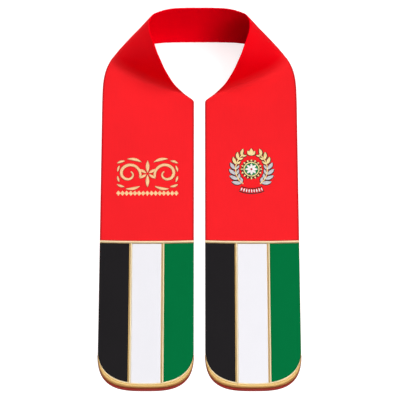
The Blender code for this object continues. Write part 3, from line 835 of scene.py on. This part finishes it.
def roundel_work():
    """A green field in a gold ring with rays, and on it a white flower that has a red heart."""
    line, width = disc(ROUNDEL_RADIUS * 0.93, 41, 0.002)
    sewn("roundel_field", line, width, 1, MEDALLION_DROP, green_thread, ("roundel",),
         "green_thread", height=0.0008, level=0.0003)
    ring_band("roundel_ring", ROUNDEL_RADIUS * 0.97, pale_thread, level=0.0007)
    ring_band("roundel_outline", ROUNDEL_RADIUS * 1.07, brown_thread, level=0.0004)
    outlined("roundel_rays", star(RAYS, ROUNDEL_RADIUS * 1.04, RAY_LENGTH),
             np.tile(leaf_width(RAY_HALF_WIDTH), (RAYS, 1)), pale_thread)
    sewn("rosette_petals", star(PETALS, ROUNDEL_RADIUS * 0.10, ROUNDEL_RADIUS * 0.70),
         np.tile(leaf_width(PETAL_HALF_WIDTH, 0.6), (PETALS, 1)), 1, MEDALLION_DROP,
         white_thread, ("rosette",), "white_thread", level=0.0008)
    line, width = disc(HEART_RADIUS, LEAF_POINTS, 0.02)
    sewn("rosette_heart", line, width, 1, MEDALLION_DROP, red_thread, slot="red_thread",
         level=0.0014)


def ribbon_line(share):
    """Points on the ribbon's middle line, a parabola, at shares of its length."""
    return np.stack([(share - 0.5) * RIBBON_LENGTH, RIBBON_BOW * ((2 * share - 1) ** 2 - 0.5)],
                    axis=-1)


def ribbon_work():
    """A bowed ribbon under the wreath, red with a row of small white lozenges and a dark outline."""
    line = ribbon_line(np.linspace(0.0, 1.0, 31))
    outlined("ribbon_band", line[None], np.full((1, 31), RIBBON_HALF_WIDTH), red_thread,
             ("ribbon",), RIBBON_DROP)
    place = np.linspace(0.06, 0.94, RIBBON_LOZENGES)
    run = np.linspace(-0.5, 0.5, 9) * 0.92 / RIBBON_LOZENGES
    widths = RIBBON_HALF_WIDTH * 0.80 * (1.05 - np.abs(np.linspace(-1.0, 1.0, 9)))
    sewn("ribbon_lozenges", ribbon_line(place[:, None] + run[None, :]),
         np.tile(widths, (RIBBON_LOZENGES, 1)), 1, RIBBON_DROP, white_thread,
         slot="white_thread", level=0.0009, height=0.0004)


# Materials

# Polyester satin, woven warp-faced and dyed: a strong even red with a soft sheen, and painted shade
# along its lying edges.
red_satin = cloth("Red polyester satin", "#E32127", 0.0009, "#FF2020", specular=0.015,
                  painted_edge_shade=0.62)
# The lining is the same satin in a slightly thinner quality, with painted shade that makes it deeper
# towards the right end inside the neck, and along its lying edges.
red_lining = cloth("Red lining satin", "#E60619", 0.0009, specular=0.0, slope=-1.0,
                   painted_edge_shade=0.62, painted_shade=True)
# Polyester twill, dyed and calendered: matt, with a fine diagonal rib.
black_twill = cloth("Black polyester twill", "#1A181A", 0.0010, streak=0.10)
white_twill = cloth("White polyester twill", "#DCDBE0", 0.0010, streak=0.02)
green_twill = cloth("Green polyester twill", "#006736", 0.0010, streak=0.06, specular=0.015)
# Metallised yarn twisted over a cotton core: warm gold. Its cream, tan and brown copies are painted
# highlight and painted shade on the round cords.
highlight_yarn = thread("Gold twisted yarn with painted highlight", "#F6E6C0", "#DCC594", 0.0013, metallic=0.1)
gold_yarn = thread("Gold twisted yarn", "#E9C782", "#C89E5C", 0.0011, metallic=0.2)
shade_line_yarn = thread("Gold twisted yarn with painted shade line", "#BA9E74", "#9C7C52", 0.0013, metallic=0.1)
shade_yarn = thread("Gold twisted yarn with painted shade", "#B27C44", "#8E5B2D", 0.0011, metallic=0.1)
# Polyester satin bias binding over the edge of the hem, painted darker red as the shade under the
# cord.
red_binding_in_painted_shade = thread("Red bias binding in painted shade", "#982417", "#70190E", 0.0012)
# The same binding where the face is turned in at the cross seam: a darker red line, painted shadow
# above the piping.
painted_shadow_fold = thread("Red turned-in edge in painted shadow", "#B52E1C", "#96200F", 0.0012)
# Viscose embroidery thread in satin stitch: fine ribs and a silky lustre.
gold_thread = thread("Gold viscose embroidery thread", "#F7D19E", "#D09C66", 0.0010, metallic=0.1)
silver_thread = thread("Silver viscose embroidery thread", "#D2D0D5", "#8B898F", 0.0010)
pale_thread = thread("Pale gold viscose embroidery thread", "#F3DFA2", "#D2B070", 0.0010)
brown_thread = thread("Dark brown viscose thread", "#38170F", "#220D09", 0.0010)
# Its line round the gold scrolls is painted shadow
shadow_line_thread = thread("Dark red thread for a painted shadow line", "#A3241A", "#7C140E", 0.0010)
green_thread = thread("Green viscose thread", "#0B8447", "#055A2E", 0.0010)
white_thread = thread("White viscose thread", "#ECE6E4", "#D6CECE", 0.0010)
red_thread = thread("Red viscose thread", "#D01A24", "#8E0C14", 0.0010)


# The scarf


def lining_end(x):
    """The end of the lining on a leg, a superellipse."""
    return -ROUND_START - round_end(x, HEM_ROUND, HEM_SQUARENESS)


def face_end(x):
    """The end of the face on a leg, under the cross piping."""
    return seam(x) + PIPING_WIDTH / 4


def covered(grid):
    """How far the face's points count as from its ends. It is 1 m everywhere, because the ends lie
    under the pipings and aren't turned."""
    return np.ones(grid.shape[:2])


lining_mesh = strip_layer("lining_cloth", lining_end, leg_rows=130, columns=44, direction=-1.0,
                          end_edge=from_hem)
lining = add_piece("lining_cloth", lining_mesh, red_lining, "lining", slot="red_lining")
face_mesh = strip_layer("face_cloth", face_end, leg_rows=80, columns=44, direction=1.0,
                        end_edge=covered)
face = add_piece("face_cloth", face_mesh, red_satin, "red_face", slot="red_satin")
for side, word in ((-1, "left"), (1, "right")):
    stripes(side, word)
    pipings(side, word)
    cross_seam(side, word)
    hem(side, word)
left_chest()
right_chest()


# The table, the light and the camera

FLOOR_REACH = 30.0
corners = [(x * FLOOR_REACH, y * FLOOR_REACH, 0.0) for x, y in ((-1, -1), (1, -1), (1, 1), (-1, 1))]
floor_mesh = bpy.data.meshes.new("table_top")
floor_mesh.from_pydata(corners, [], [(0, 1, 2, 3)])
floor = bpy.data.objects.new("table_top", floor_mesh)
bpy.context.scene.collection.objects.link(floor)
white_board, _, _ = new_material("Matt white board", Base_Color=linear("#B4B4B4"), Roughness=0.8,
                                 Specular_IOR_Level=0.1, Emission_Color=(1.0, 1.0, 1.0, 1.0),
                                 Emission_Strength=0.76)
floor_mesh.materials.append(white_board)

# Six round soft lamps, the strongest from the front right, and a table that is lit from below, as
# in a product photo on a white ground
LIGHTS = [
    dict(name="key", azimuth=45, elevation=50, power=56.0),
    dict(name="top_back", azimuth=135, elevation=78, power=35.0),
    dict(name="top_left", azimuth=225, elevation=78, power=17.0),
    dict(name="low_back", azimuth=225, elevation=25, power=21.0),
    dict(name="low_left", azimuth=270, elevation=25, power=12.0),
    dict(name="side_right", azimuth=90, elevation=50, power=11.0),
]
LIGHT_DISTANCE = 3.0
LIGHT_SIZE = 1.6
WORLD_LIGHT = 0.02
for light in LIGHTS:
    data = bpy.data.lights.new(light["name"], "AREA")
    data.shape = "DISK"
    data.size = LIGHT_SIZE
    data.energy = light["power"]
    lamp = bpy.data.objects.new(light["name"], data)
    a, e = math.radians(light["azimuth"]), math.radians(light["elevation"])
    way = np.array([math.sin(a) * math.cos(e), -math.cos(a) * math.cos(e), math.sin(e)])
    lamp.location = way * LIGHT_DISTANCE
    lamp.rotation_euler = (math.pi / 2 - e, 0.0, a)
    bpy.context.scene.collection.objects.link(lamp)

world = bpy.data.worlds.new("studio")
world.use_nodes = True
background = world.node_tree.nodes["Background"]
background.inputs["Color"].default_value = (1.0, 1.0, 1.0, 1.0)
background.inputs["Strength"].default_value = WORLD_LIGHT
bpy.context.scene.world = world
bpy.context.scene.view_settings.view_transform = "Standard"

# The camera looks down at the scarf from its foot end, from far off
CAMERA_LENS = 201.3
CAMERA_DISTANCE = 3.6
CAMERA_ELEVATION = math.radians(67.0)
CAMERA_AIM = (0.0008, Y_SHIFT - 0.17675, 0.0)
camera_data = bpy.data.cameras.new("camera")
camera_data.sensor_width = 36.0
camera_data.lens = CAMERA_LENS
camera = bpy.data.objects.new("camera", camera_data)
camera.location = (CAMERA_AIM[0],
                   CAMERA_AIM[1] - CAMERA_DISTANCE * math.cos(CAMERA_ELEVATION),
                   CAMERA_DISTANCE * math.sin(CAMERA_ELEVATION))
camera.rotation_euler = (math.pi / 2 - CAMERA_ELEVATION, 0.0, 0.0)
bpy.context.scene.collection.objects.link(camera)
bpy.context.scene.camera = camera
